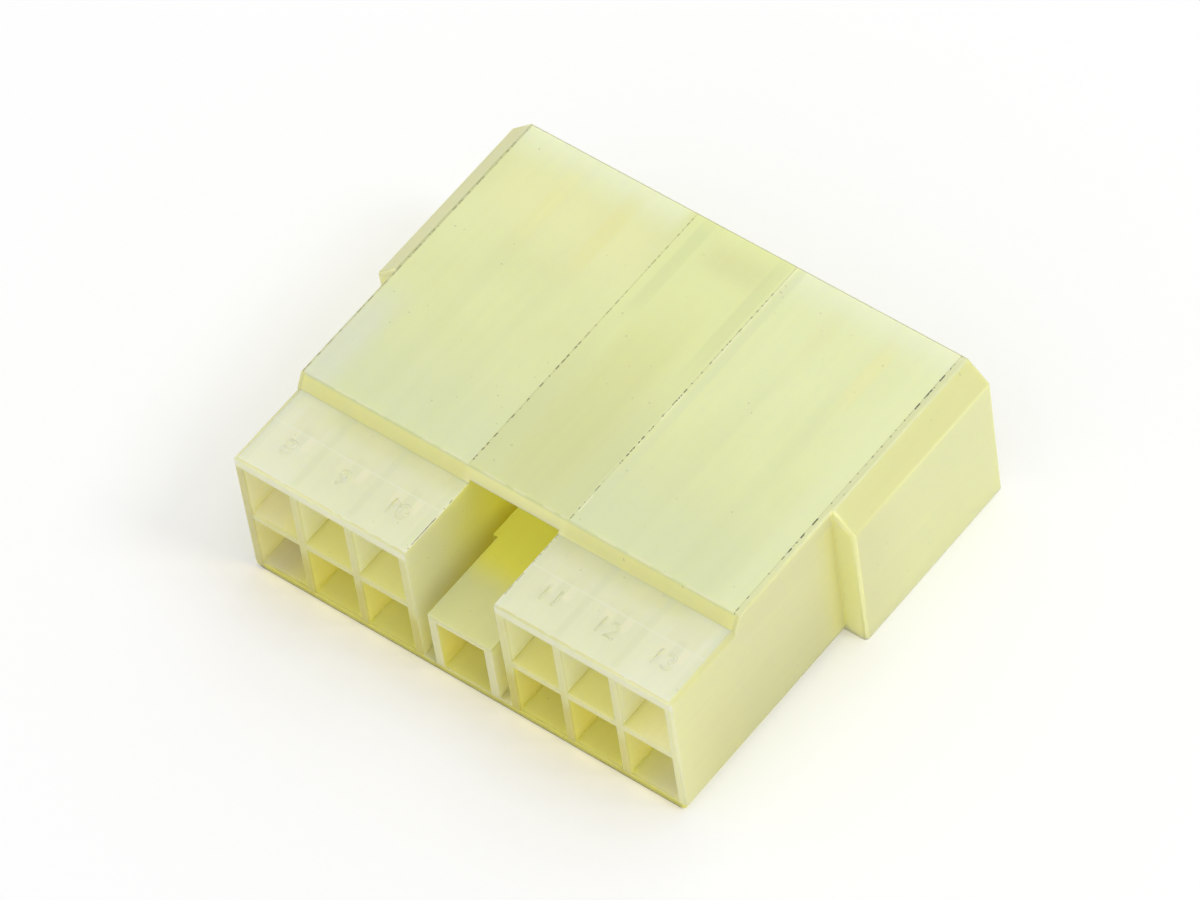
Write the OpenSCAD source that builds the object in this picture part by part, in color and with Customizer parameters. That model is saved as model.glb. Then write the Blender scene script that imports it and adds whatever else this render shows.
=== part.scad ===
// Thirteen-way crimp terminal housing, moulded in one piece: a block of wire cells with a hood behind it.
// X runs along the row of cells, Y from the wire entry to the mouth of the hood, Z up. Millimetres.

/* [Terminal grid] */
// Distance from one cell to the next along the row
pitch = 5; // [4.8:0.1:5.4]
// Cells side by side in each of the two banks
bank_columns = 3; // [2:1:5]
// Inside width of one cell
cell_width = 4.3; // [3.8:0.05:4.35]
// Inside height of one cell
cell_height = 5.3; // [4.8:0.1:5.4]
// How far a cell runs back from the wire entry
cell_depth = 18.15; // [16:0.05:18.4]
// Thickness of the wall between the lower and the upper row
row_wall = 0.65; // [0.5:0.05:0.9]

/* [Wire entry block] */
// Thickness of the plate under all the cells
floor_wall = 0.65; // [0.5:0.05:1]
// Thickness of the wall above the upper row
roof_wall = 1.05; // [0.8:0.05:1.2]
// Thickness of the two outside walls
side_wall = 0.75; // [0.7:0.05:1]
// Clear width between the two banks
channel_width = 8.1; // [7.9:0.1:8.6]
// Wall of a bank beside the channel
bank_wall = 0.75; // [0.7:0.05:1]
// Depth of the block, up to the space inside the hood
block_depth = 19; // [18.8:0.1:20]

/* [Centre way] */
// Outside width of the single way in the middle
centre_width = 5.8; // [5.6:0.1:6]
// How much wider the centre way is on each side further back
centre_step = 0.4; // [0.1:0.05:0.6]
// Where the centre way widens
centre_step_y = 8.2; // [6:0.1:9]

/* [Cell guide rails] */
// Width of the two rails under the ceiling of each cell
rail_width = 0.6; // [0.4:0.05:0.8]
// Distance of each rail from the middle of its cell
rail_offset = 0.95; // [0.6:0.05:1.4]
// How far a rail stands down from the ceiling
rail_height = 0.45; // [0.2:0.05:0.5]
// Where the rails begin
rail_start = 4; // [3:0.1:8]
// Length of the ramp at the front of a rail
rail_ramp = 0.75; // [0.3:0.05:1.5]

/* [Tab windows] */
// Width of the window at the back of each cell
window_width = 3; // [2:0.1:3.4]
// Height of the window
window_height = 1.2; // [0.8:0.1:1.6]
// Height of the middle of the window above the floor of its cell
window_centre = 2.4; // [1.6:0.1:3.2]

/* [Hood] */
// Overall depth from the wire entry to the mouth
housing_depth = 35.5; // [32:0.1:40]
// Overall height
housing_height = 14.2; // [14.15:0.05:15]
// Where the ramp in front of the hood begins
ramp_start = 7.5; // [6:0.1:12]
// Length of the ramp
ramp_length = 0.8; // [0.5:0.05:2]
// Wall thickness of the hood
hood_wall = 1; // [0.8:0.05:1.05]
// Width of the shallow ribs under the roof of the hood
rib_width = 0.7; // [0.5:0.05:1.2]
// How far the ribs stand down
rib_height = 0.4; // [0.2:0.05:0.8]

/* [Side keys] */
// How far each side key stands out
key_width = 1.85; // [1.6:0.05:2.4]
// Where the side keys begin
key_start = 19; // [19:0.1:24]
// Height of the outer top edge of a side key
key_height = 12.45; // [11.5:0.05:13]

/* [Edge rounding] */
// Radius of the long top edges of the block
block_round = 0.5; // [0.1:0.05:0.6]
// Radius of the top edges of the hood
hood_round = 0.25; // [0.1:0.05:0.4]
// Radius of the two long bottom edges
bottom_round = 0.8; // [0.2:0.05:1.2]
// Radius of the front edges of the block
front_round = 0.25; // [0.1:0.05:0.45]
// Radius round the mouth of the hood
mouth_round = 0.35; // [0.1:0.05:0.4]
// Radius of the front edges of the side keys
key_front_round = 0.45; // [0.1:0.05:0.6]
// Radius of the long outer edges of the side keys
key_round = 0.2; // [0.1:0.05:0.6]

/* [Hidden] */
$fn = 48;
over = 1;
first_cell = channel_width / 2 + bank_wall;
half_width = first_cell + (bank_columns - 1) * pitch + cell_width + side_wall;
lower_floor = floor_wall;
lower_ceiling = floor_wall + cell_height;
upper_floor = lower_ceiling + row_wall;
upper_ceiling = upper_floor + cell_height;
block_height = upper_ceiling + roof_wall;
channel_roof = housing_height - hood_wall;
key_half = half_width + key_width;
key_slope = (housing_height - key_height) / key_width;
slope_drop = hood_wall * sqrt(1 + key_slope * key_slope);
inner_key_half = key_half - hood_wall;
inner_slope_top = half_width + (housing_height - slope_drop - channel_roof) / key_slope;
inner_key_height = channel_roof - (inner_key_half - inner_slope_top) * key_slope;
cell_columns = [for (i = [0:bank_columns - 1]) first_cell + i * pitch];
rib_columns = [for (i = [1:bank_columns - 1]) first_cell + i * pitch - (pitch - cell_width) / 2];

// Points that replace one corner of an outline: its two tangent points, or the corner itself when sharp
function toward(a, b) = (b - a) / norm(b - a);
function half_angle(p, a, b) = acos(toward(p, a) * toward(p, b)) / 2;
function corner_at(points, i) = points[(i + len(points)) % len(points)];
function corner_centre(p, a, b, r) =
    p + toward([0, 0], toward(p, a) + toward(p, b)) * r / sin(half_angle(p, a, b));
function corner_points(p, a, b, r) =
    r > 0 ? [
        p + toward(p, a) * r / tan(half_angle(p, a, b)),
        p + toward(p, b) * r / tan(half_angle(p, a, b))
    ] : [p];

// Outline with convex corners turned into true arcs
module rounded_outline(points, radii) {
    last = len(points) - 1;
    polygon([
        for (i = [0:last])
            each corner_points(points[i], corner_at(points, i - 1), corner_at(points, i + 1), radii[i])
    ]);
    for (i = [0:last]) {
        if (radii[i] > 0) {
            translate(corner_centre(points[i], corner_at(points, i - 1), corner_at(points, i + 1), radii[i]))
                circle(r = radii[i]);
        }
    }
}

// Outline in X and Z carried from one Y to another
module along_y(y0, y1) {
    translate([0, y1, 0])
        rotate([90, 0, 0])
            linear_extrude(height = y1 - y0)
                children();
}

// Outline in Y and Z carried from one X to another
module along_x(x0, x1) {
    translate([x0, 0, 0])
        rotate([90, 0, 90])
            linear_extrude(height = x1 - x0)
                children();
}

module block_outline() {
    rounded_outline(
        [[-half_width, 0], [half_width, 0], [half_width, block_height], [-half_width, block_height]],
        [bottom_round, bottom_round, block_round, block_round]
    );
}

module hood_outline() {
    rounded_outline(
        [[-half_width, 0], [half_width, 0], [half_width, housing_height], [-half_width, housing_height]],
        [bottom_round, bottom_round, hood_round, hood_round]
    );
}

module key_outline() {
    rounded_outline(
        [
            [-key_half, 0],
            [key_half, 0],
            [key_half, key_height],
            [half_width, housing_height],
            [-half_width, housing_height],
            [-key_half, key_height]
        ],
        [key_round, key_round, key_round, hood_round, hood_round, key_round]
    );
}

// Block in front of the hood, with its front edges rounded
module entry_block() {
    intersection() {
        along_y(0, block_depth) block_outline();
        along_x(-half_width - over, half_width + over)
            rounded_outline(
                [[0, -over], [block_depth, -over], [block_depth, block_height], [0, block_height]],
                [0, 0, 0, front_round]
            );
        translate([0, 0, -over])
            linear_extrude(height = block_height + 2 * over)
                rounded_outline(
                    [[-half_width, 0], [half_width, 0], [half_width, block_depth], [-half_width, block_depth]],
                    [front_round, front_round, 0, 0]
                );
    }
}

// Everything from one end to the other, with the hood's ramp and its edges round the mouth
module side_limit() {
    along_x(-key_half - over, key_half + over)
        rounded_outline(
            [
                [ramp_start, 0],
                [housing_depth, 0],
                [housing_depth, housing_height],
                [ramp_start + ramp_length, housing_height],
                [ramp_start, block_height]
            ],
            [0, mouth_round, mouth_round, front_round, 0]
        );
}

module plan_limit(half, y0, front_radius) {
    translate([0, 0, -over])
        linear_extrude(height = housing_height + 2 * over)
            rounded_outline(
                [[-half, y0], [half, y0], [half, housing_depth], [-half, housing_depth]],
                [front_radius, front_radius, mouth_round, mouth_round]
            );
}

// Limits the sloped face of one side key, with its front and mouth edges rounded
module slope_limit() {
    reach = 2 * key_half;
    translate([half_width, 0, housing_height])
        rotate([0, atan(key_slope), 0])
            rotate([90, 0, 90])
                translate([0, 0, -reach])
                    linear_extrude(height = 2 * reach)
                        rounded_outline(
                            [[key_start, -reach], [housing_depth, -reach], [housing_depth, 0], [key_start, 0]],
                            [0, 0, mouth_round, key_front_round]
                        );
}

module hood_body() {
    intersection() {
        along_y(ramp_start, housing_depth) hood_outline();
        side_limit();
        plan_limit(half_width, ramp_start - over, 0);
    }
}

// The hood widened by the two side keys
module key_body() {
    intersection() {
        along_y(key_start, housing_depth) key_outline();
        side_limit();
        plan_limit(key_half, key_start, key_front_round);
        slope_limit();
        mirror([1, 0, 0]) slope_limit();
    }
}

// Open channel between the banks, running back under the lip of the hood, with a slot on each side of the centre way
module channel_space() {
    translate([-channel_width / 2, -over, upper_floor])
        cube([channel_width, block_depth + 2 * over, channel_roof - upper_floor]);
    for (side = [0, 1]) {
        mirror([side, 0, 0]) {
            translate([centre_width / 2, -over, floor_wall])
                cube([(channel_width - centre_width) / 2, centre_step_y + over, cell_height + 2 * row_wall]);
            translate([centre_width / 2 + centre_step, centre_step_y - over, floor_wall])
                cube([
                    (channel_width - centre_width) / 2 - centre_step,
                    block_depth - centre_step_y + 2 * over,
                    cell_height + 2 * row_wall
                ]);
        }
    }
}

// One cell with its corner at the given place, less the two guide rails, plus the window behind it
module cell_space(x, z) {
    difference() {
        translate([x, -over, z])
            cube([cell_width, cell_depth + over, cell_height]);
        for (side = [-1, 1]) {
            rail_x = x + (cell_width - rail_width) / 2 + side * rail_offset;
            along_x(rail_x, rail_x + rail_width)
                polygon([
                    [rail_start, z + cell_height + over],
                    [rail_start, z + cell_height],
                    [rail_start + rail_ramp, z + cell_height - rail_height],
                    [cell_depth + over, z + cell_height - rail_height],
                    [cell_depth + over, z + cell_height + over]
                ]);
        }
    }
    translate([x + (cell_width - window_width) / 2, cell_depth - over, z + window_centre - window_height / 2])
        cube([window_width, block_depth - cell_depth + 2 * over, window_height]);
}

module all_cells() {
    for (side = [0, 1]) {
        mirror([side, 0, 0]) {
            for (x = cell_columns) {
                cell_space(x, lower_floor);
                cell_space(x, upper_floor);
            }
        }
    }
    cell_space(-cell_width / 2, lower_floor);
}

// Space inside the hood, open at the back, wider in the side keys
module hood_space() {
    difference() {
        union() {
            translate([hood_wall - half_width, block_depth, hood_wall])
                cube([2 * (half_width - hood_wall), housing_depth - block_depth + over, channel_roof - hood_wall]);
            along_y(key_start + hood_wall, housing_depth + over)
                polygon([
                    [-inner_key_half, hood_wall],
                    [inner_key_half, hood_wall],
                    [inner_key_half, inner_key_height],
                    [inner_slope_top, channel_roof],
                    [-inner_slope_top, channel_roof],
                    [-inner_key_half, inner_key_height]
                ]);
        }
        for (side = [0, 1]) {
            mirror([side, 0, 0]) {
                for (x = rib_columns) {
                    translate([x - rib_width / 2, block_depth - over, channel_roof - rib_height])
                        cube([rib_width, housing_depth - block_depth + 3 * over, rib_height + over]);
                }
            }
        }
    }
}

module housing() {
    color([0.86, 0.87, 0.66])
        translate([0, -housing_depth / 2, 0])
            difference() {
                union() {
                    entry_block();
                    hood_body();
                    key_body();
                }
                channel_space();
                all_cells();
                hood_space();
            }
}

housing();
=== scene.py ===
import bpy, bmesh, math
from mathutils import Matrix, Vector


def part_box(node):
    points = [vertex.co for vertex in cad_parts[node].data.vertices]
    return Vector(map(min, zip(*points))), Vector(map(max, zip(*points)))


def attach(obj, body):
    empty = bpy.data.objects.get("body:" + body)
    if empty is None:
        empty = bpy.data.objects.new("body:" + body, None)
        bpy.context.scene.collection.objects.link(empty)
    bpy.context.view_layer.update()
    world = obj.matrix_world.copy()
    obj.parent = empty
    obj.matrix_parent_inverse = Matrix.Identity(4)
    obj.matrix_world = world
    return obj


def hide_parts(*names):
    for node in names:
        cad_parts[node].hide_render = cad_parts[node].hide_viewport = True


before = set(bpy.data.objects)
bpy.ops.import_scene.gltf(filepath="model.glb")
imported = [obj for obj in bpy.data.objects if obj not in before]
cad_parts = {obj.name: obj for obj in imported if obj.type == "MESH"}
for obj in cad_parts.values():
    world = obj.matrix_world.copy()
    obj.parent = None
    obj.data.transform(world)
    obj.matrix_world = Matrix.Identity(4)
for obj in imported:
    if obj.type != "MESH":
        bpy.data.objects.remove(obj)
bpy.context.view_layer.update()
scene = bpy.context.scene
print("frame loaded")

mm = 0.001
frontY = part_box("housing")[0][1]                # the face with the wire cells


def srgb(hexColour):
    # sRGB hex to linear RGBA
    parts = [int(hexColour[i:i + 2], 16) / 255 for i in (1, 3, 5)]
    return [c / 12.92 if c <= 0.04045 else ((c + 0.055) / 1.055) ** 2.4 for c in parts] + [1.0]


def addNode(tree, kind, settings=None, links=None):
    # one node with its settings, its socket values and its incoming links
    node = tree.nodes.new(kind)
    for key, value in (settings or {}).items():
        if isinstance(key, int) or key in node.inputs:
            node.inputs[key].default_value = value
        else:
            setattr(node, key, value)
    for key, source in (links or {}).items():
        tree.links.new(source, node.inputs[key])
    return node


def newMaterial(name):
    material = bpy.data.materials.new(name)
    material.use_nodes = True
    material.node_tree.nodes.clear()
    return material, material.node_tree


cameraSettings = {
    "azimuth": 45.06, "elevation": 52.55, "roll": -9.44,   # degrees
    "distance": 655.7 * mm, "target": (-1.74 * mm, 1.055 * mm, 6.0 * mm),
    "lens": 272.0, "sensorWidth": 36.0,                    # millimetres, as on a real camera
    "clipStart": 10 * mm,
}


def makeCamera(s):
    az, el, roll = (math.radians(s[k]) for k in ("azimuth", "elevation", "roll"))
    back = Vector((math.sin(az) * math.cos(el), -math.cos(az) * math.cos(el), math.sin(el)))
    level = (-back).cross(Vector((0, 0, 1))).normalized()
    upright = level.cross(-back)
    right = level * math.cos(roll) + upright * math.sin(roll)
    up = upright * math.cos(roll) - level * math.sin(roll)
    camera = bpy.data.objects.new("camera", bpy.data.cameras.new("camera"))
    scene.collection.objects.link(camera)
    turn = Matrix((right, up, back)).transposed().to_4x4()
    camera.matrix_world = Matrix.Translation(Vector(s["target"]) + back * s["distance"]) @ turn
    camera.data.sensor_width = s["sensorWidth"]
    camera.data.lens = s["lens"]
    camera.data.clip_start = s["clipStart"]
    scene.camera = camera


makeCamera(cameraSettings)
print("camera set")

lightSettings = {
    "world": 0.66,
    # a wide softbox overhead and a smaller one from the right: place, size across, watts
    "lamps": {
        "overhead softbox": ((0.20, 0.85, 2.62), 2.4, 17.0),
        "side softbox": ((1.70, 0.55, 1.90), 0.80, 14.5),
    },
}


def seenRays(tree):
    # 1 for what the camera sees, itself, mirrored or through something clear, and 0 for light on its way
    path = addNode(tree, "ShaderNodeLightPath")
    direct = addNode(tree, "ShaderNodeMath", {"operation": "MAXIMUM"},
                     {0: path.outputs["Is Camera Ray"], 1: path.outputs["Is Glossy Ray"]})
    seen = addNode(tree, "ShaderNodeMath", {"operation": "MAXIMUM"},
                   {0: direct.outputs[0], 1: path.outputs["Is Transmission Ray"]})
    return seen.outputs[0]


def makeLights(s):
    world = bpy.data.worlds.new("studio room")
    world.use_nodes = True
    tree = world.node_tree
    tree.nodes.clear()
    seen = seenRays(tree)
    room = addNode(tree, "ShaderNodeBackground", {"Color": srgb("#ffffff"), "Strength": s["world"]})
    white = addNode(tree, "ShaderNodeBackground", {"Color": srgb("#ffffff"), "Strength": 1.0})
    mix = addNode(tree, "ShaderNodeMixShader", {},
                  {0: seen, 1: room.outputs[0], 2: white.outputs[0]})
    addNode(tree, "ShaderNodeOutputWorld", {}, {"Surface": mix.outputs[0]})
    scene.world = world

    for name, (place, size, power) in s["lamps"].items():
        lamp = bpy.data.lights.new(name, "AREA")
        lamp.shape = "SQUARE"
        lamp.size = size
        lamp.energy = power
        holder = bpy.data.objects.new(name, lamp)
        scene.collection.objects.link(holder)
        holder.location = place
        holder.rotation_euler = Vector(place).to_track_quat("Z", "Y").to_euler()


makeLights(lightSettings)

floorSettings = {
    "size": 3.0, "paper": "#f6f6f6",
    "lift": 0.09,              # how much whiter than its own shade the paper is seen
}


def makeFloor(s):
    bpy.ops.object.select_all(action="DESELECT")
    bpy.ops.mesh.primitive_plane_add(size=s["size"], location=(0, 0, 0))
    floor = bpy.context.object
    floor.name = "floor"
    material, tree = newMaterial("studio paper")
    shade = addNode(tree, "ShaderNodeBsdfDiffuse", {"Color": srgb(s["paper"])})
    seen = seenRays(tree)
    lift = addNode(tree, "ShaderNodeMath", {"operation": "MULTIPLY", 1: s["lift"]}, {0: seen})
    glow = addNode(tree, "ShaderNodeEmission", {"Color": srgb("#ffffff")}, {"Strength": lift.outputs[0]})
    both = addNode(tree, "ShaderNodeAddShader", {}, {0: shade.outputs[0], 1: glow.outputs[0]})
    addNode(tree, "ShaderNodeOutputMaterial", {}, {"Surface": both.outputs[0]})
    floor.data.materials.append(material)


makeFloor(floorSettings)
print("floor and light made")

numberSettings = {
    # the upper row is numbered on the block, each number over the middle of its cell, in millimetres
    "columns": {"8": -16.95, "9": -11.95, "10": -6.95, "11": 6.95, "12": 11.95, "13": 16.95},
    "depth": 2.85, "blockTop": 12.95, "size": 2.15, "raised": 0.04,
    "curveSteps": 4, "joinWithin": 0.0005,
}


def makeNumbers(s):
    # plain digits, raised by a hair, with their tops towards the hood
    made = []
    for digits, column in s["columns"].items():
        bpy.ops.object.select_all(action="DESELECT")
        bpy.ops.object.text_add(location=(0, 0, 0))
        number = bpy.context.object
        number.data.body = digits
        number.data.size = s["size"] * mm
        number.data.extrude = s["raised"] * mm          # half of it is sunk in the block
        number.data.align_x = "CENTER"
        number.data.align_y = "CENTER"
        number.data.resolution_u = s["curveSteps"]
        bpy.ops.object.convert(target="MESH")
        number.location = (column * mm, frontY + s["depth"] * mm, s["blockTop"] * mm)
        bpy.ops.object.transform_apply(location=True, rotation=True, scale=True)
        bpy.ops.object.mode_set(mode="EDIT")
        bpy.ops.mesh.select_all(action="SELECT")
        bpy.ops.mesh.remove_doubles(threshold=s["joinWithin"] * mm)
        bpy.ops.mesh.normals_make_consistent(inside=False)
        bpy.ops.object.mode_set(mode="OBJECT")
        made.append(number)
    bpy.ops.object.select_all(action="DESELECT")
    for number in made:
        number.select_set(True)
    bpy.context.view_layer.objects.active = made[0]
    bpy.ops.object.join()
    return made[0]


housingSettings = {
    "joinWithin": 0.001 * mm, "flatWithin": 0.5,           # joins the loose triangles of the solid
    "edgeAngle": 60, "edgeLength": 0.3 * mm,               # only long, sharp outer edges are softened
    "digitTop": 12.99 * mm, "digitWithin": 0.01 * mm,      # the numbers keep their sharp edges
    "edgeRadius": 0.09 * mm, "edgeSteps": 2,
    "smoothAngle": 32, "flatWeight": 100,
}


def softenHousing(s, numbers):
    # the solid of the frame with its cell numbers, and the small radius that a mould leaves on each edge
    bpy.ops.object.select_all(action="DESELECT")
    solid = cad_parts["housing"]
    piece = bpy.data.objects.new("nylonHousing", solid.data.copy())
    scene.collection.objects.link(piece)
    piece.select_set(True)
    bpy.context.view_layer.objects.active = piece
    bpy.ops.object.mode_set(mode="EDIT")
    bpy.ops.mesh.select_all(action="SELECT")
    bpy.ops.mesh.remove_doubles(threshold=s["joinWithin"])
    bpy.ops.mesh.dissolve_limited(angle_limit=math.radians(s["flatWithin"]))
    bpy.ops.object.mode_set(mode="OBJECT")
    bpy.ops.object.modifier_add(type="BOOLEAN")
    piece.modifiers[-1].operation = "UNION"
    piece.modifiers[-1].solver = "EXACT"
    piece.modifiers[-1].object = numbers
    bpy.ops.object.modifier_apply(modifier=piece.modifiers[-1].name)
    bpy.data.objects.remove(numbers)
    bpy.ops.object.mode_set(mode="EDIT")
    bpy.ops.mesh.select_all(action="DESELECT")
    bpy.ops.mesh.select_mode(type="EDGE")
    shape = bmesh.from_edit_mesh(piece.data)
    for edge in shape.edges:
        onDigit = any(abs(vertex.co.z - s["digitTop"]) < s["digitWithin"] for vertex in edge.verts)
        edge.select = (edge.is_manifold and edge.is_convex and not onDigit
                       and edge.calc_face_angle() > math.radians(s["edgeAngle"])
                       and edge.calc_length() > s["edgeLength"])
    bmesh.update_edit_mesh(piece.data)
    bpy.ops.mesh.bevel(offset=s["edgeRadius"], segments=s["edgeSteps"], clamp_overlap=False)
    bpy.ops.object.mode_set(mode="OBJECT")
    bpy.ops.object.shade_smooth_by_angle(angle=math.radians(s["smoothAngle"]))
    # flat walls keep their own normals beside the small radii
    bpy.ops.object.modifier_add(type="WEIGHTED_NORMAL")
    piece.modifiers[-1].keep_sharp = True
    piece.modifiers[-1].weight = s["flatWeight"]
    bpy.ops.object.modifier_apply(modifier=piece.modifiers[-1].name)
    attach(piece, "root")
    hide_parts("housing")
    return piece


housing = softenHousing(housingSettings, makeNumbers(numberSettings))
print("housing softened:", len(housing.data.polygons), "faces")

nylonSettings = {
    # all sizes and places in millimetres
    "skin": "#e5eab5", "cloud": "#dde1a8", "cloudSize": 6.0,
    "streakWidth": 0.9, "streakLength": 16.0, "streakDepth": 0.014,
    "speckSize": 0.30, "speck": "#a9a67c", "speckAmount": 0.135, "speckBlur": 0.02, "speckShare": 0.4,
    "roughness": 0.36, "roughPatch": 0.06, "roughPatchSize": 4.0, "ior": 1.53,
    "grainSize": 0.35, "grain": 0.05, "grainHeight": 0.05,       # the mould's own grain is finer still
    "scatter": 1.0, "scatterColour": (1.0, 0.95, 0.45),
    # how far light spreads inside: in the thin walls in front of the hood, and in its roof behind
    "wallScatter": 2.4, "wallEnd": 5.5, "roofScatter": 0.8, "roofStart": 8.0,
    # lamp light that the moulding lets through to the table: left side from front to back, and the others
    "lampTint": "#fffcec", "frontTint": "#4a3206", "sideTint": "#7c7766",
    "leftTint": "#6c6b67", "leftBackTint": "#b9b6aa", "leftStart": 4.0, "leftEnd": 26.0,
    "sideFace": 19.7, "frontFace": 0.1, "underside": 0.1,
}

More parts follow.
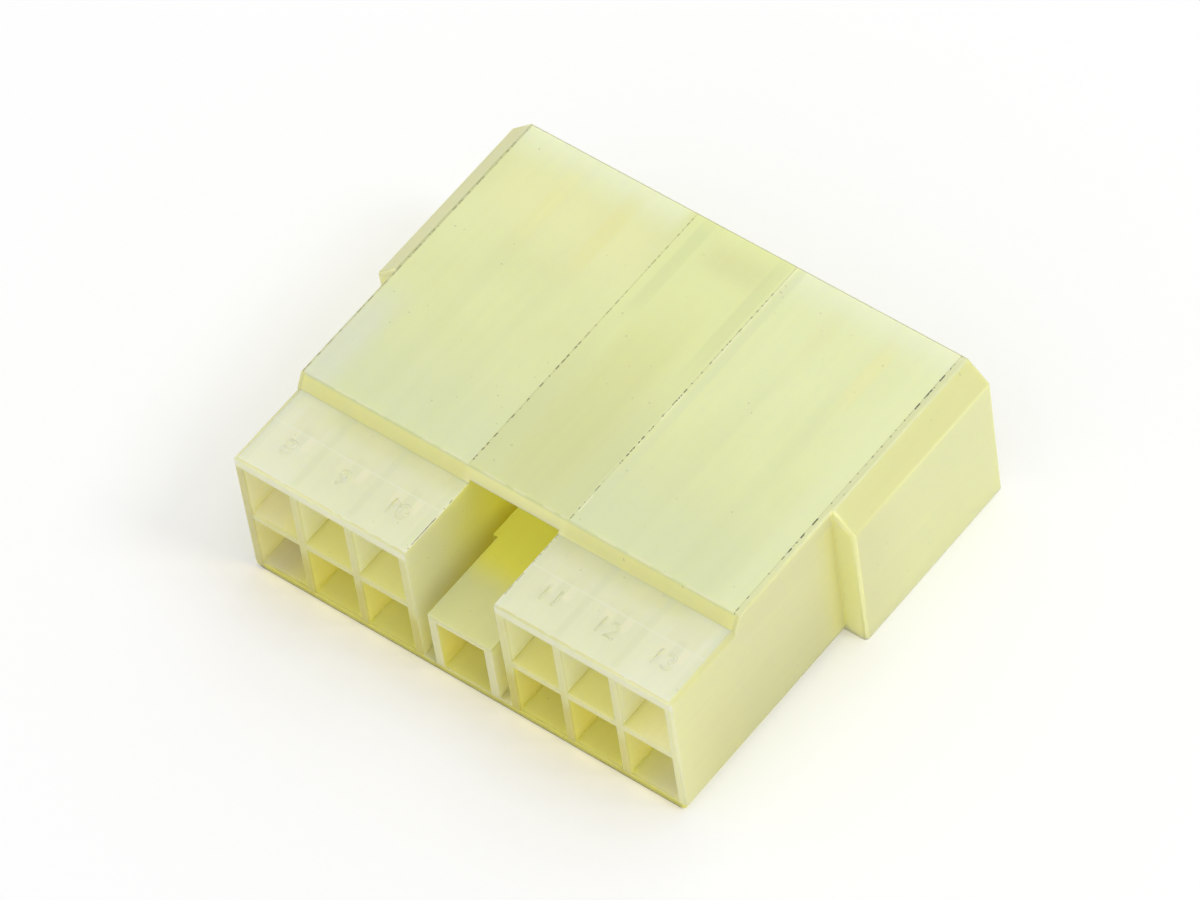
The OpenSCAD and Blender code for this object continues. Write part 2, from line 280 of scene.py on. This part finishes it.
# Fields of colour over the moulding, group by group, each later one over the ones before it. Limits are
# (low, high, blur) in millimetres, None where there is no limit: x along the row, across both ways from the
# middle, cell from the middle of its own cell, depth from the wire entry, z up. chip and flake are noises
# that break a line into dashes.
nylonFields = {
    "hood": {"where": {"z": (14.05, None, 0.05)}, "fields": {
        # broad colours
        "front": {"depth": (None, 14, 4), "colour": "#dae0b4", "share": 0.8},
        "left corner": {"x": (None, -17.3, 1.2), "depth": (None, 17, 3), "colour": "#dde1c6", "share": 0.9},
        "right edge": {"x": (17.3, None, 1), "colour": "#e5eabd", "share": 0.7},
        "right": {"x": (5, None, 2), "depth": (22, None, 6), "colour": "#e7ecbc", "share": 0.6},
        "left warm": {"x": (-18.5, -5, 1.5), "depth": (27, 33.5, 3), "colour": "#e9e9b2", "share": 0.6},
        "centre": {"across": (None, 4.5, 0.04), "colour": "#e3e8ac", "share": 0.8},
        "centre front": {"across": (None, 4.5, 0.04), "depth": (None, 20, 7), "colour": "#d6daa4",
         "share": 0.9},
        "centre brown": {"across": (None, 2.3, 1), "depth": (9, 26, 4), "colour": "#d7d992", "share": 0.4},
        "back": {"across": (5, None, 0.6), "depth": (33.5, None, 1.9), "colour": "#e9edcc", "share": 0.9},
        "centre patch": {"x": (-1.5, 3.4, 1), "depth": (31.6, 34, 0.8), "colour": "#dcdda2", "share": 0.6},
        # stripes over what stands under the roof: painted shade, the walls beneath showing through the roof
        "brown far left": {"x": (-14.75, -13.35, 0.25), "depth": (25.5, 33.2, 2.5), "colour": "#e7e6a6",
         "share": 0.5},
        "brown left": {"x": (-9.65, -8.25, 0.25), "depth": (26, 33.4, 2.5), "colour": "#e6e4a3",
         "share": 0.6},
        "brown right": {"x": (9.15, 10.6, 0.35), "depth": (28, 33, 2.5), "colour": "#e6e5ae", "share": 0.35},
        "brown far right": {"x": (14.2, 15.4, 0.25), "depth": (26.5, 33, 1.6), "colour": "#e9e7a8",
         "share": 0.45},
        "pale outer": {"across": (13.4, 14.8, 0.3), "depth": (9, 27, 3), "colour": "#d9dfaa", "share": 0.3},
        "pale inner": {"across": (8.4, 9.8, 0.3), "depth": (9, 27, 3), "colour": "#d9dfaa", "share": 0.25},
        "green left": {"x": (-3.6, -2.5, 0.12), "depth": (26, 35.2, 2), "colour": "#d6dda3", "share": 0.45},
        "green right": {"x": (3.25, 4.35, 0.12), "depth": (24, 35.2, 3), "colour": "#d4dba2", "share": 0.45},
        "grey": {"x": (5.0, 5.6, 0.1), "colour": "#d9dfb4", "share": 0.4},
        # fine lines and dashes of grime along the seams and the right edge, a pale broken line beside the
        # right seam, and painted shade and painted highlights on the rounded edges
        "seam left": {"x": (-4.45, -4.35, 0), "colour": "#cdce92", "share": 0.6},
        "seam right": {"x": (4.57, 4.67, 0), "colour": "#cdce92", "share": 0.45},
        "seam light": {"x": (4.71, 4.80, 0), "flake": (0.5, None, 0.03), "colour": "#eff0cf", "share": 0.8},
        "left dashes": {"x": (-4.45, -4.34, 0), "depth": (None, 21.6, 0.2), "chip": (0.55, None, 0.03),
         "colour": "#55543a", "share": 0.8},
        "left dashes behind": {"x": (-4.45, -4.35, 0), "chip": (0.57, None, 0.03), "colour": "#96955f",
         "share": 0.6},
        "right dashes": {"x": (4.57, 4.68, 0), "depth": (14.5, 23, 0.5), "chip": (0.545, None, 0.03),
         "colour": "#55543a", "share": 0.8},
        "right dashes along": {"x": (4.58, 4.67, 0), "chip": (0.56, None, 0.03), "colour": "#7d7c54",
         "share": 0.7},
        "edge line": {"x": (19.30, 19.43, 0), "colour": "#c9c894", "share": 0.55},
        "edge dashes": {"x": (19.32, 19.42, 0), "chip": (0.6, None, 0.03), "colour": "#7c7b58",
         "share": 0.7},
        "edge dashes front": {"x": (19.31, 19.43, 0), "depth": (14.5, 18.4, 0.3), "chip": (0.51, None, 0.03),
         "colour": "#4c4c38", "share": 0.85},
        "edge dashes back": {"x": (19.31, 19.43, 0), "depth": (28, 34.2, 0.5), "chip": (0.51, None, 0.03),
         "colour": "#50503a", "share": 0.85},
        # painted shade on the rounded right edge of the roof
        "right rim painted shade": {"x": (19.46, None, 0.03), "colour": "#d6d8a8", "share": 0.7},
        # painted shade on the rounded left edge of the roof
        "left edge painted shade": {"x": (-19.85, -19.6, 0.08), "colour": "#b4b482", "share": 0.6},
        "left edge dashes": {"x": (-19.74, -19.6, 0), "chip": (0.54, None, 0.03), "colour": "#86855a",
         "share": 0.55},
        # painted shade on the rounded back edge of the roof
        "back edge painted shade": {"depth": (35.28, None, 0.06), "colour": "#a0a16c", "share": 0.75},
        # painted highlight on the rounded front edge of the roof, above the ramp
        "front edge painted highlight": {"depth": (8.17, 8.33, 0), "flake": (0.47, None, 0.03), "colour": "#efecce",
         "share": 0.5},
    }},
    "bank tops": {"where": {"z": (12.6, 13.2, 0.1), "depth": (None, 7.5, 0.1)}, "fields": {
        "all": {"colour": "#e2e4c6", "share": 0.9},
        "front": {"depth": (None, 2.5, 2), "colour": "#dfe3cb", "share": 0.7},
        "inner": {"across": (None, 15, 1), "colour": "#dadcb8", "share": 0.4},
        # painted shade: darker and yellower towards the corner at the ramp, where the hood's step rises
        "back": {"depth": (6.2, None, 1.0), "colour": "#d6d7a0", "share": 0.8},
        "ends": {"across": (16, None, 1.5), "colour": "#e2e5cc", "share": 0.6},
        "behind the line": {"cell": (-1.0, 1.5, 0.1), "depth": (4.5, None, 0.2), "colour": "#dedeb0",
         "share": 0.3},
        "bright patch": {"cell": (-1.0, -0.1, 0.08), "depth": (3.2, 4.4, 0.15), "colour": "#e6e4c4",
         "share": 0.5},
        "bright patch right": {"cell": (0.82, 1.42, 0.08), "depth": (3.1, 4.4, 0.2), "colour": "#ebe7ca",
         "share": 0.5},
        "grey patch": {"cell": (0.0, 0.75, 0.1), "depth": (3.4, 5.0, 0.25), "colour": "#d2d5b4",
         "share": 0.3},
        # painted shade: the dividers and the outer wall under the top showing through it
        "divider": {"cell": (2.15, 2.75, 0.18), "depth": (0.5, None, 0.3), "colour": "#cdd4b0",
         "share": 0.3},
        "outer wall": {"across": (18.85, 19.5, 0.1), "depth": (0.3, None, 0.3), "colour": "#d6dac2",
         "share": 0.3},
        # painted highlight along the tiny step of the mould's witness line
        "witness line highlight": {"depth": (4.36, 4.52, 0.05), "colour": "#e6e9d4", "share": 0.42},
        "front rim": {"depth": (0.05, 0.2, 0), "flake": (0.42, None, 0.04), "colour": "#d9c795",
         "share": 0.9},
        "inner rim": {"across": (4.07, 4.16, 0), "chip": (0.55, None, 0.03), "colour": "#7a7a58",
         "share": 0.7},
        "inner rim dense": {"across": (4.08, 4.16, 0), "depth": (1.2, 3.8, 0.1), "flake": (0.42, None, 0.03),
         "colour": "#6c6c50", "share": 0.75},
        # painted shade on the sides of the raised numbers
        "digit walls painted shade": {"z": (12.956, 12.984, 0), "across": (5.5, 18.5, 0), "colour": "#c9c39a",
         "share": 0.4},
    }},
    "ramp": {"where": {"z": (12.98, 14.05, 0.05), "depth": (7.45, 8.15, 0.08)}, "fields": {
        "all": {"colour": "#f2f0a8", "share": 0.9},
        "middle": {"across": (None, 4.6, 0.3), "colour": "#f6f4b4", "share": 0.95},
    }},
    "sides and keys": {"where": {"across": (19.5, None, 0.06), "z": (None, 14.12, 0.05)}, "fields": {
        "all": {"colour": "#dfdda4", "share": 0.8},
        # painted shade: the side darker low down, towards the table
        "low": {"across": (None, 21, 0.05), "depth": (2, 21, 3), "z": (None, 6, 5), "colour": "#d2d196",
         "share": 0.9},
        "beside key": {"across": (None, 20.5, 0.05), "depth": (17.5, None, 2), "z": (None, 13, 0.3),
         "colour": "#e8e69a", "share": 0.8},
        "key slope": {"depth": (18.8, None, 0.3), "z": (12.2, None, 0.1), "colour": "#dfdf9f",
         "share": 0.9},
        "key faces": {"across": (21.58, None, 0.06), "depth": (22, None, 4), "colour": "#e6e8ae",
         "share": 0.9},
        # painted highlight on the rounded front edge of the key
        "key front painted highlight": {"across": (None, 22, 0.02), "depth": (18.9, 19.3, 0), "colour": "#fdf8b6",
         "share": 0.9},
    }},
    "cells": {"where": {"across": (None, 19.2, 0.1), "depth": (0.1, 19, 0.1), "z": (0.55, 12.1, 0.05)},
              "fields": {
        # painted light and shade throughout: the inner colours stand in for light that comes through the thin
        # walls and bounces between them, darker on the upper floors, yellow and bright on the lower floors,
        # pale in the end cells and greyer at the left end
        "upper": {"z": (6.3, None, 0.1), "colour": "#ebebc6", "share": 1.0},
        "upper floors": {"z": (6.5, 6.7, 0), "colour": "#d6d59c", "share": 1.0},
        "lower": {"z": (None, 6.3, 0.1), "colour": "#e4e096", "share": 1.0},
        "lower floors": {"z": (None, 0.75, 0.05), "colour": "#fff892", "share": 1.0},
        "end cells": {"across": (16, None, 2.2), "colour": "#f3efd0", "share": 0.7},
        "left end cells": {"x": (None, -16.6, 1), "colour": "#d6d3bc", "share": 0.6},
    }},
    "front": {"where": {"depth": (None, 0.15, 0.1)}, "fields": {
        # painted light and shade: the front darker low down, to the left and at the left end, and lighter to
        # the right, as the light falls from the right and above
        "upper": {"across": (None, 18.5, 1), "z": (6, 12.0, 1.0), "colour": "#d5d29c", "share": 0.9},
        "lower": {"across": (None, 18.5, 1), "z": (None, 5.5, 1.5), "colour": "#bdb456", "share": 0.9},
        "left": {"x": (None, 0, 8), "z": (None, 12, 0.5), "colour": "#c2be82", "share": 0.25},
        "right": {"x": (12, None, 9), "z": (None, 12, 0.5), "colour": "#f2eec0", "share": 0.4},
        "base": {"z": (None, 0.62, 0.05), "colour": "#fcee60", "share": 0.9},
        "left end": {"x": (None, -18.9, 0.2), "z": (None, 12, 0.5), "colour": "#bfb986", "share": 0.85},
        "top": {"z": (12.1, 12.8, 0.1), "colour": "#e9e9cd", "share": 0.9},
    }},
    "gap": {"where": {"across": (None, 4.06, 0.01), "depth": (None, 15.5, 2.5), "z": (0.6, 13.1, 0.1)},
            "fields": {
        # painted light and shade: deep yellow towards the back, where light bounces between the walls, darker
        # on the centre top at the front, and bright yellow on the centre floor as if lit through it
        "all": {"colour": "#dad9b0", "share": 0.9},
        "back": {"depth": (7, None, 5), "colour": "#ece866", "share": 1.0},
        "centre top": {"across": (None, 3.35, 0.02), "z": (6.3, 6.8, 0.1), "colour": "#cbce9c", "share": 1.0},
        "centre top back": {"across": (None, 3.35, 0.02), "depth": (5.3, None, 1.7), "z": (6.3, 6.8, 0.1),
         "colour": "#dddc66", "share": 1.0},
        "centre cell": {"across": (None, 2.5, 0.05), "depth": (0.1, 19, 0.1), "z": (None, 6.2, 0.1),
         "colour": "#e5df92", "share": 1.0},
        "centre floor": {"across": (None, 2.5, 0.05), "depth": (0.1, 19, 0.1), "z": (None, 0.75, 0.05),
         "colour": "#fff892", "share": 1.0},
    }},
}


def limitMask(tree, places, limits, share=1.0):
    # the share inside the limits, 0 outside them
    steps = []
    for axis, (begin, end, blur) in limits.items():
        if not blur:
            middle, reach = (begin + end) / 2, (end - begin) / 2
            steps.append(addNode(tree, "ShaderNodeMath", {"operation": "COMPARE", 1: middle, 2: reach},
                                 {0: places[axis]}).outputs[0])
            continue
        for edge, (before, after) in ((begin, (0, 1)), (end, (1, 0))):
            if edge is not None:
                steps.append(addNode(tree, "ShaderNodeMapRange", {
                    "interpolation_type": "SMOOTHSTEP", "From Min": edge - blur, "From Max": edge + blur,
                    "To Min": before, "To Max": after}, {"Value": places[axis]}).outputs[0])
    mask = steps.pop()
    for step in steps:
        mask = addNode(tree, "ShaderNodeMath", {"operation": "MULTIPLY"}, {0: mask, 1: step}).outputs[0]
    if share < 1:
        mask = addNode(tree, "ShaderNodeMath", {"operation": "MULTIPLY", 1: share}, {0: mask}).outputs[0]
    return mask


def paintFields(tree, places, base, groups):
    # each group is painted on the plain colour, then laid over what is there
    colour = base
    for group in groups.values():
        painted = base
        for field in group["fields"].values():
            limits = {axis: field[axis] for axis in places if axis in field}
            settings, links = {"data_type": "RGBA", 0: field["share"], 7: srgb(field["colour"])}, {6: painted}
            if limits:
                links[0] = limitMask(tree, places, limits, field["share"])
            painted = addNode(tree, "ShaderNodeMix", settings, links).outputs[2]
        colour = addNode(tree, "ShaderNodeMix", {"data_type": "RGBA"}, {
            0: limitMask(tree, places, group["where"]), 6: colour, 7: painted}).outputs[2]
    return colour


placeSettings = {
    "firstCell": 6.95,                      # from the middle of the row to the first cell of each bank
    "cellFrom": -2.0, "cellTo": 3.0,        # the stretch around each cell, 5 mm long like the pitch
    "chipSize": 0.36, "flakeSize": 1.3,
}


def placesOn(tree, s):
    # where a point of the moulding is, in millimetres
    where = addNode(tree, "ShaderNodeTexCoord")
    inMm = addNode(tree, "ShaderNodeMapping", {
        "Scale": (1 / mm, 1 / mm, 1 / mm), "Location": (0, -frontY / mm, 0)},
        {"Vector": where.outputs["Object"]})
    split = addNode(tree, "ShaderNodeSeparateXYZ", {}, {0: inMm.outputs[0]})
    across = addNode(tree, "ShaderNodeMath", {"operation": "ABSOLUTE"}, {0: split.outputs[0]})
    bank = addNode(tree, "ShaderNodeMath", {"operation": "SIGN"}, {0: split.outputs[0]})
    fromFirst = addNode(tree, "ShaderNodeMath", {"operation": "MULTIPLY_ADD", 1: -s["firstCell"]},
                        {0: bank.outputs[0], 2: split.outputs[0]})
    cell = addNode(tree, "ShaderNodeMath", {"operation": "WRAP", 1: s["cellTo"], 2: s["cellFrom"]},
                   {0: fromFirst.outputs[0]})
    chip = addNode(tree, "ShaderNodeTexNoise", {"Scale": 1 / s["chipSize"], "Detail": 1.0},
                   {"Vector": inMm.outputs[0]})
    flake = addNode(tree, "ShaderNodeTexNoise", {"Scale": 1 / s["flakeSize"], "Detail": 1.0},
                    {"Vector": inMm.outputs[0]})
    return {
        "point": inMm.outputs[0], "x": split.outputs[0], "depth": split.outputs[1], "z": split.outputs[2],
        "across": across.outputs[0], "cell": cell.outputs[0],
        "chip": chip.outputs[0], "flake": flake.outputs[0],
    }


def mouldedNylon(s, fields):
    # injection moulded nylon 6/6 without pigment: milky and pale where walls are thin; the yellower colour
    # deep in the cells and the gap is painted light, standing in for light passed through and bounced between
    # the walls
    material, tree = newMaterial("moulded natural nylon")
    places = placesOn(tree, placeSettings)
    point = places["point"]

    cloud = addNode(tree, "ShaderNodeTexNoise", {"Scale": 1 / s["cloudSize"], "Detail": 3.0},
                    {"Vector": point})
    base = addNode(tree, "ShaderNodeMix", {"data_type": "RGBA", 6: srgb(s["skin"]), 7: srgb(s["cloud"])},
                   {0: cloud.outputs[0]})
    colour = paintFields(tree, places, base.outputs[2], fields)

    # faint milky streaks along the way that the melt ran in from the hood to the cells
    along = addNode(tree, "ShaderNodeMapping", {
        "Scale": (1 / s["streakWidth"], 1 / s["streakLength"], 1 / s["streakWidth"])}, {"Vector": point})
    streak = addNode(tree, "ShaderNodeTexNoise", {"Scale": 1.0, "Detail": 3.0}, {"Vector": along.outputs[0]})
    level = addNode(tree, "ShaderNodeMapRange", {
        "From Min": 0.25, "From Max": 0.75, "To Min": 1 - s["streakDepth"], "To Max": 1 + s["streakDepth"]},
        {"Value": streak.outputs[0]})
    streaked = addNode(tree, "ShaderNodeVectorMath", {"operation": "SCALE"},
                       {0: colour, "Scale": level.outputs[0]})
    # dust and burnt specks, a tenth or two of a millimetre across
    specks = addNode(tree, "ShaderNodeTexNoise", {"Scale": 1 / s["speckSize"], "Detail": 0.0},
                     {"Vector": point})
    dark = addNode(tree, "ShaderNodeMapRange", {
        "From Min": s["speckAmount"] - s["speckBlur"], "From Max": s["speckAmount"] + s["speckBlur"],
        "To Min": s["speckShare"], "To Max": 0.0}, {"Value": specks.outputs[0]})
    speckled = addNode(tree, "ShaderNodeMix", {"data_type": "RGBA", 7: srgb(s["speck"])},
                       {0: dark.outputs[0], 6: streaked.outputs[0]})

    # the hood's roof shows less of what is under it than the thin walls of the cells do
    deep = addNode(tree, "ShaderNodeMapRange", {
        "interpolation_type": "SMOOTHSTEP", "From Min": s["wallEnd"], "From Max": s["roofStart"],
        "To Min": s["wallScatter"] * mm, "To Max": s["roofScatter"] * mm}, {"Value": places["depth"]})
    # handled plastic: the polish is uneven in soft patches, over a very fine grain
    patch = addNode(tree, "ShaderNodeTexNoise", {"Scale": 1 / s["roughPatchSize"], "Detail": 4.0},
                    {"Vector": point})
    rough = addNode(tree, "ShaderNodeMapRange", {
        "From Min": 0.0, "From Max": 1.0, "To Min": s["roughness"] - s["roughPatch"],
        "To Max": s["roughness"] + s["roughPatch"]}, {"Value": patch.outputs[0]})
    grain = addNode(tree, "ShaderNodeTexNoise", {"Scale": 1 / s["grainSize"], "Detail": 3.0},
                    {"Vector": point})
    bump = addNode(tree, "ShaderNodeBump", {"Strength": s["grain"], "Distance": s["grainHeight"] * mm},
                   {"Height": grain.outputs[0]})
    shader = addNode(tree, "ShaderNodeBsdfPrincipled", {
        "subsurface_method": "RANDOM_WALK", "IOR": s["ior"],
        "Subsurface Weight": s["scatter"], "Subsurface Radius": s["scatterColour"]},
        {"Base Color": speckled.outputs[2], "Subsurface Scale": deep.outputs[0],
         "Roughness": rough.outputs[0], "Normal": bump.outputs[0]})

    # the walls let most of the lamp light on into the cells, but hold back what would go through them
    # to the table
    away = addNode(tree, "ShaderNodeMapRange", {"From Min": s["leftStart"], "From Max": s["leftEnd"]},
                   {"Value": places["depth"]})
    leftTint = addNode(tree, "ShaderNodeMix", {
        "data_type": "RGBA", 6: srgb(s["leftTint"]), 7: srgb(s["leftBackTint"])}, {0: away.outputs[0]})
    geometry = addNode(tree, "ShaderNodeNewGeometry")
    entering = addNode(tree, "ShaderNodeMath", {"operation": "SUBTRACT", 0: 1.0},
                       {1: geometry.outputs["Backfacing"]})
    outside = {
        "side": ("across", "GREATER_THAN", s["sideFace"], srgb(s["sideTint"])),
        "left": ("x", "LESS_THAN", -s["sideFace"], leftTint.outputs[2]),
        "front": ("depth", "LESS_THAN", s["frontFace"], srgb(s["frontTint"])),
        "below": ("z", "LESS_THAN", s["underside"], srgb(s["frontTint"])),
    }
    tint = srgb(s["lampTint"])
    for axis, test, limit, tone in outside.values():
        here = addNode(tree, "ShaderNodeMath", {"operation": test, 1: limit}, {0: places[axis]})
        both = addNode(tree, "ShaderNodeMath", {"operation": "MULTIPLY"},
                       {0: here.outputs[0], 1: entering.outputs[0]})
        settings, links = {"data_type": "RGBA"}, {0: both.outputs[0]}
        for socket, colour in ((6, tint), (7, tone)):
            (settings if isinstance(colour, list) else links)[socket] = colour
        tint = addNode(tree, "ShaderNodeMix", settings, links).outputs[2]
    through = addNode(tree, "ShaderNodeBsdfTransparent", {}, {"Color": tint})
    path = addNode(tree, "ShaderNodeLightPath")
    mix = addNode(tree, "ShaderNodeMixShader", {},
                  {0: path.outputs["Is Shadow Ray"], 1: shader.outputs[0], 2: through.outputs[0]})
    addNode(tree, "ShaderNodeOutputMaterial", {}, {"Surface": mix.outputs[0]})
    return material


nylon = mouldedNylon(nylonSettings, nylonFields)
housing.data.materials.clear()
housing.data.materials.append(nylon)
print("nylon on")

scene.view_settings.view_transform = "Standard"
